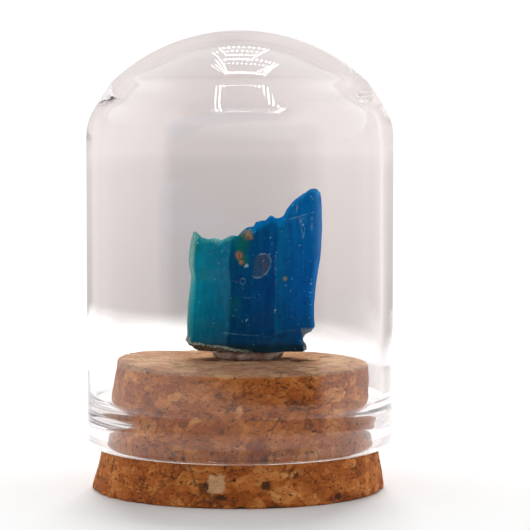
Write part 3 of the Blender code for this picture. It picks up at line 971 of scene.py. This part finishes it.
def smooth_ends(count):
    """count places from 0 to 1, packed a little closer at both ends."""
    t = np.linspace(0, 1, count)
    return 0.6 * t + 0.4 * (0.5 - 0.5 * np.cos(math.pi * t))


def make_opal():
    """The opal: broken faces with fine upright lines, chips, a round mark and crust.

    The relief is added along the surface's normals, and nothing goes below its foot.
    """
    rings, across = opal_rings()
    normals = grid_normals(rings)
    height = rings[..., 2] - OPAL_FOOT_Z
    lines = layered_noise(rings, (0.35 * MM, 0.35 * MM, 7 * MM), 81, 3)
    slow = layered_noise(rings, 2.6 * MM, 91, 2)
    upright = 1 - smooth(np.abs(normals[..., 2]), 0.25, 0.6)
    rough = layered_noise(rings, 0.7 * MM, 97)
    relief = upright * (LINE_DEPTH * lines + FACE_SWELL * slow) \
        + (1 - upright) * BREAK_DEPTH * rough
    crust, layer = crust_mask(rings)
    relief += crust * CRUST_DEPTH * layered_noise(rings, 0.30 * MM, 99)
    fields = front_marks(rings)
    relief += MATRIX_RISE * fields["matrix"] - PALE_DEPTH * fields["pale"] \
        - DISH_DEPTH * fields.pop("dish")
    rings = rings + normals * (relief * MM)[..., None]
    rings[..., 2] = np.maximum(rings[..., 2], OPAL_FOOT_Z)
    rim = opal_rim(rings, height, across)
    make_piece("opal_chunk", rings, "blue_opal", opal_material(), {
        "across": across, "rim": rim, "crust": crust, "layer": layer, **fields})


def front_marks(rings):
    """The marks on the front faces, each a field from 0 to 1.

    matrix: brown and olive spots with ragged edges; olive: their hue; green: soft
    clouds; pale: scratches, chips, painted glints and the line round the round mark;
    inside and dish: the round mark's floor, and its depth.
    """
    x = rings[..., 0] / MM
    h = (rings[..., 2] - OPAL_FOOT_Z) / MM
    front = 1 - smooth(rings[..., 1], 1.4 * MM, 2.0 * MM)
    ragged = lattice_noise(rings, 0.30 * MM, 201) + 0.6 * lattice_noise(rings, 0.14 * MM, 202)
    cloudy = layered_noise(rings, 0.8 * MM, 203, 2)
    worn = smooth(layered_noise(rings, 0.45 * MM, 205, 2), -0.9, 0.7)

    matrix, olive = np.zeros_like(x), np.zeros_like(x)
    for centre_x, centre_h, radius, hue in MATRIX_SPOTS:
        away = np.hypot(x - centre_x, h - centre_h) / radius + 0.26 * ragged
        here = 1 - smooth(away, 0.55, 1.10)
        matrix = np.maximum(matrix, here)
        olive = np.maximum(olive, here * hue)
    green = np.zeros_like(x)
    for centre_x, centre_h, half_width, half_height, strength in GREEN_CLOUDS:
        away = np.hypot((x - centre_x) / half_width, (h - centre_h) / half_height)
        green = np.maximum(green, strength * (1 - smooth(away + 0.3 * cloudy, 0.35, 1.15)))
    ring, inside, dish = round_mark(x, h)
    pale = np.maximum(0.50 * ring * worn, scratches(x, h, ragged, worn))
    marks = {"matrix": matrix, "olive": olive, "green": green, "pale": pale,
             "inside": inside, "dish": dish}
    return {name: mark * front for name, mark in marks.items()}


def round_mark(x, h):
    """A bowl cut off along its left: the line round it, its floor and its depth."""
    over = (x - ROUND_MARK[0] - ROUND_MARK_LEAN * (h - ROUND_MARK[1])) / ROUND_MARK_SIZE[0]
    up = (h - ROUND_MARK[1]) / ROUND_MARK_SIZE[1]
    away = np.hypot(over, up)
    cut = smooth(over + 0.35 * up, -0.72, -0.62)
    inside = (1 - smooth(away, 0.90, 0.97)) * cut
    ring = (1 - smooth(np.abs(away - 0.95), 0.03, 0.08)) * smooth(over, -0.75, -0.2)
    return ring, inside, inside * (1 - np.minimum(away, 1) ** 2)


def scratches(x, h, ragged, worn):
    """Pale scratches, chips, painted glints and the small ring-shaped scratch, the strongest at
    each place.
    """
    pale = np.zeros_like(x)
    for start, end, half_width, strength in SCRATCHES:
        near = 1 - smooth(line_distance(x, h, start, end) + 0.03 * ragged,
                          half_width * 0.4, half_width * 2.0)
        pale = np.maximum(pale, SCRATCH_STRENGTH * strength * near * worn)
    # pale spots: partly chips, partly painted glints
    for centre_x, centre_h, radius in PALE_SPOTS_AND_GLINTS:
        away = np.hypot(x - centre_x, h - centre_h) / radius + 0.3 * ragged
        pale = np.maximum(pale, 0.9 * (1 - smooth(away, 0.5, 1.1)))
    loop = np.abs(np.hypot(x - LOOP_MARK[0], h - LOOP_MARK[1]) - LOOP_MARK[2])
    return np.maximum(pale, 0.40 * worn * (1 - smooth(loop, 0.02, 0.08)))


def line_distance(x, h, start, end):
    """How far each place is from the straight line between two points."""
    run = np.subtract(end, start)
    along = ((x - start[0]) * run[0] + (h - start[1]) * run[1]) / (run @ run)
    along = np.clip(along, 0, 1)
    return np.hypot(x - start[0] - along * run[0], h - start[1] - along * run[1])


def opal_rim(rings, height, across):
    """1 on the thin broken rim at the top, where its painted light lies, fading inwards, wider in
    the middle part.
    """
    s, y = opal_plan()
    below = opal_top(s, y)[None, :] - height
    middle = smooth(across, 0.38, 0.46) * (1 - smooth(across, 0.74, 0.82))
    uneven = lattice_noise(rings, 0.7 * MM, 107)
    reach = (0.35 + 0.50 * middle + (0.25 + 0.20 * middle) * uneven) * MM
    return 1 - smooth(below, 0.3 * reach, reach + 0.15 * MM)


def crust_mask(rings):
    """1 on the matrix crust, low on the left front, in the right notch and behind.

    Also returns its layers: 1 on the pale upper layer of the front crust, 0 below it.
    """
    x, y, z = np.moveaxis(rings, -1, 0)
    height = z - OPAL_FOOT_Z
    ragged = lattice_noise(rings, 0.8 * MM, 103) + 0.5 * lattice_noise(rings, 0.3 * MM, 104)
    edge = (0.80 - 0.105 * (x / MM + 4.0)) * MM + 0.11 * MM * ragged
    left = (1 - smooth(height, edge, edge + 0.08 * MM)) * (1 - smooth(x, 0.2 * MM, 1.6 * MM))
    corner = (1 - smooth(x, -5.0 * MM, -4.7 * MM)) * (1 - smooth(height, 1.1 * MM, 1.6 * MM))
    side = smooth(x + 0.20 * MM * ragged, 6.15 * MM, 6.40 * MM)
    notch = 0.65 * side * (1 - smooth(height, 2.20 * MM, 2.45 * MM))
    behind = smooth(y, 3.5 * MM, 4.5 * MM) * smooth(ragged + 2 - height / (2 * MM), 0.2, 0.6)
    layer = smooth(height - edge, -0.26 * MM, -0.18 * MM)
    return np.clip(left + corner + notch + behind, 0, 1), np.clip(layer + notch, 0, 1)


def opal_material():
    """Blue opal: its blues, then its marks, under a thin coat on its clean front faces."""
    material = bpy.data.materials.new("blue_opal_stone")
    graph = Graph(material)
    field = graph.attribute
    place = graph.place()
    cloud = graph.noise(place, 260.0, 3.0, 0.5)
    threads = graph.noise(graph.stretched(place, (1, 1, 0.12)), 2400.0, 3.0, 0.55)
    across = field("across") + (cloud - 0.5) * 0.02
    colour = opal_blues(graph, place, across, cloud)
    colour = opal_grain(graph, place, threads, colour)
    colour = opal_marks(graph, place, colour)
    clean = 1 - field("crust").at_least(field("matrix"))
    front = graph.step(across, 0.06, 0.10) * (1 - graph.step(across, 0.88, 0.93))
    graph.surface({
        "Base Color": colour, "Roughness": 0.35, "Specular IOR Level": 0.0,
        "Coat Weight": 0.05 + 0.25 * front * clean, "Coat Roughness": 0.06,
        "Coat IOR": 1.45, "Normal": graph.bump(threads, 0.12, 0.02 * MM)})
    return material


def opal_blues(graph, place, across, cloud):
    """Its blues by place across: teal on the left face, deep blue in the middle, bluer right.

    They are paler high up and darker low down, partly their own colours and partly
    painted light and shade, and dark at the foot. On top of them are the green clouds,
    the round mark's grey floor and the broken rim's lighter blues, painted light through the thin
    edge.
    """
    field = graph.attribute
    _, _, z = graph.axes(place)
    height = (z - OPAL_FOOT_Z) / OPAL_HEIGHT
    colour = graph.ramp(across, [
        (0.0, (0.16, 0.56, 0.58)), (0.030, (0.03, 0.46, 0.53)), (0.055, (0.0, 0.35, 0.49)),
        (0.10, (0.0, 0.285, 0.45)), (0.24, (0.0, 0.200, 0.375)), (0.322, (0.0, 0.185, 0.35)),
        (0.338, (0.0, 0.074, 0.20)), (0.50, (0.0, 0.082, 0.26)), (0.672, (0.0, 0.072, 0.28)),
        (0.686, (0.0, 0.145, 0.35)), (0.76, (0.0, 0.112, 0.37)), (0.86, (0.0, 0.130, 0.46)),
        (0.935, (0.0, 0.125, 0.47)), (0.955, (0.0, 0.17, 0.56)), (1.0, (0.0, 0.22, 0.66))])
    strip = (1 - graph.step(across, 0.028, 0.060)) * graph.step(height, 0.40, 0.56)
    colour = graph.mix(strip, colour, (0.36, 0.61, 0.54))
    # Paler high up: partly the stone's colour, partly painted light.
    high = graph.step(height, 0.40, 0.85)
    colour = graph.mix(high * 0.45, colour, graph.ramp(across, [
        (0.06, (0.0, 0.40, 0.46)), (0.30, (0.0, 0.28, 0.42)), (0.40, (0.0, 0.15, 0.30)),
        (0.60, (0.0, 0.14, 0.36)), (0.9, (0.0, 0.24, 0.66))]))
    # Darker low down: partly the stone's colour, partly painted shade.
    low = 1 - graph.step(height, -0.02, 0.40)
    colour = graph.mix(low * 0.58, colour, (0.0, 0.050, 0.125))
    foot = 1 - graph.step(height, 0.03, 0.075)
    colour = graph.mix(foot * 0.8, colour, (0.004, 0.030, 0.036))
    colour = graph.mix(field("green"), colour, (0.004, 0.155, 0.145))
    colour = graph.mix(field("inside") * 0.65, colour, graph.ramp(cloud, [
        (0.42, (0.02, 0.10, 0.17)), (0.52, (0.11, 0.12, 0.17)), (0.62, (0.05, 0.10, 0.16))]))
    # Lighter blues along the thin top edge: painted light through it.
    return graph.mix(field("rim") * 0.85, colour, graph.ramp(across, [
        (0.0, (0.20, 0.48, 0.40)), (0.07, (0.06, 0.45, 0.46)), (0.30, (0.10, 0.50, 0.54)),
        (0.36, (0.0, 0.20, 0.24)), (0.46, (0.0, 0.32, 0.62)), (0.52, (0.0, 0.26, 0.74)),
        (0.72, (0.0, 0.24, 0.68)), (1.0, (0.03, 0.38, 0.80))]))


def opal_grain(graph, place, threads, colour):
    """The colour with fine upright threads, a mottled grain and small painted glints."""
    colour = graph.mix(0.6, colour, graph.ramp(threads, [
        (0.3, (0.66, 0.70, 0.74)), (0.5, (1, 1, 1)), (0.7, (1.35, 1.30, 1.24))]), "MULTIPLY")
    colour = graph.mix(0.5, colour, graph.ramp(graph.noise(place, 1500.0, 4.0, 0.65), [
        (0.30, (0.36, 0.44, 0.48)), (0.5, (0.72, 0.70, 0.72)), (0.70, (1.16, 1.02, 0.98))]),
        "MULTIPLY")
    # painted glints: pale specks in place of highlights
    glint = graph.step(graph.noise(place, 4600.0, 1.0, 0.5), 0.735, 0.77)
    return graph.mix(glint * 0.6, colour, (0.25, 0.55, 0.65))


def opal_marks(graph, place, colour):
    """The colour with brown and olive matrix, pale scratches and painted glints, and the crust's
    two layers.
    """
    field = graph.attribute
    fine = graph.noise(place, 5200.0, 2.0, 0.6)
    brown = graph.ramp(fine, [(0.35, (0.30, 0.085, 0.025)), (0.60, (0.55, 0.22, 0.08))])
    olive = graph.ramp(fine, [(0.35, (0.20, 0.13, 0.03)), (0.60, (0.50, 0.42, 0.14))])
    earth = graph.mix(field("olive"), brown, olive)
    colour = graph.mix(field("matrix") * 0.70, colour, earth)
    # pale marks: scratches and chips, and painted glints
    colour = graph.mix(field("pale") * 0.8, colour, (0.42, 0.62, 0.68))
    dark_layer = graph.ramp(fine, [(0.36, (0.03, 0.027, 0.022)), (0.62, (0.24, 0.18, 0.13))])
    pale_layer = graph.ramp(fine, [(0.36, (0.06, 0.12, 0.11)), (0.62, (0.50, 0.56, 0.50))])
    crust = graph.mix(field("layer"), dark_layer, pale_layer)
    return graph.mix(field("crust") * 0.92, colour, crust)


# ================================================================ glue
def make_pad():
    """A drop of glue pressed flat: an oval with a wavy outline and a bulging, tucked side.

    Its sides follow a quarter ellipse inwards below their widest level, and it spreads
    furthest at the front right, where a bead has run out.
    """
    up = np.linspace(0, 1, PAD_ROWS)[:, None]
    angles = np.linspace(0, math.tau, PAD_COLUMNS, endpoint=False)
    low, high = CORK_TOP - 0.03 * MM, OPAL_FOOT_Z + 0.04 * MM
    bead_angle, bead_width, bead_size = PAD_BEAD
    wave = 1 + 0.030 * np.sin(3 * angles + 0.7) + 0.018 * np.sin(7 * angles) \
        + bead_size * np.exp(-((angles - bead_angle) / bead_width) ** 2)
    tuck = np.sqrt(np.clip(1 - ((0.62 - up) / 0.66) ** 2, 0, 1))
    spread = (0.80 + 0.22 * tuck) * wave
    sides = np.stack((PAD_CENTRE[0] + PAD_HALF_SIZE[0] * spread * np.cos(angles),
                      PAD_CENTRE[1] + PAD_HALF_SIZE[1] * spread * np.sin(angles),
                      low + (high - low) * up + 0 * angles), axis=-1)
    inward = np.linspace(0.05, 1, PAD_CAP_ROWS, endpoint=False)[:, None, None]
    centre = np.array((*PAD_CENTRE, 0.0))
    caps = []
    for ring in (sides[0], sides[-1]):
        middle = centre + (0, 0, ring[0, 2])
        caps.append(middle + (ring - middle) * inward)
    rings = np.concatenate((caps[0], sides, caps[1][::-1]))
    rings += grid_normals(rings) * (0.02 * MM * layered_noise(rings, 0.5 * MM, 111))[..., None]
    material = bpy.data.materials.new("hardened_clear_glue")
    graph = Graph(material)
    cloud = graph.noise(graph.place(), 1100.0, 3.0, 0.6)
    # Its pinkish browns are the cork below mirrored in the clear glue: a painted reflection.
    colour = graph.ramp(cloud, [(0.36, (0.42, 0.27, 0.20)), (0.50, (0.66, 0.50, 0.42)),
                                (0.64, (0.90, 0.80, 0.74))])
    graph.surface({"Base Color": colour, "Roughness": 0.20, "IOR": 1.46,
                   "Transmission Weight": 0.25, "Normal": graph.bump(cloud, 0.3, 0.05 * MM)})
    make_piece("glue_drop", rings, "glue_pad", material)


make_camera()
set_light_paths()
make_world()
make_floor()
make_key_light()
make_dome()
make_cork()
make_opal()
make_pad()
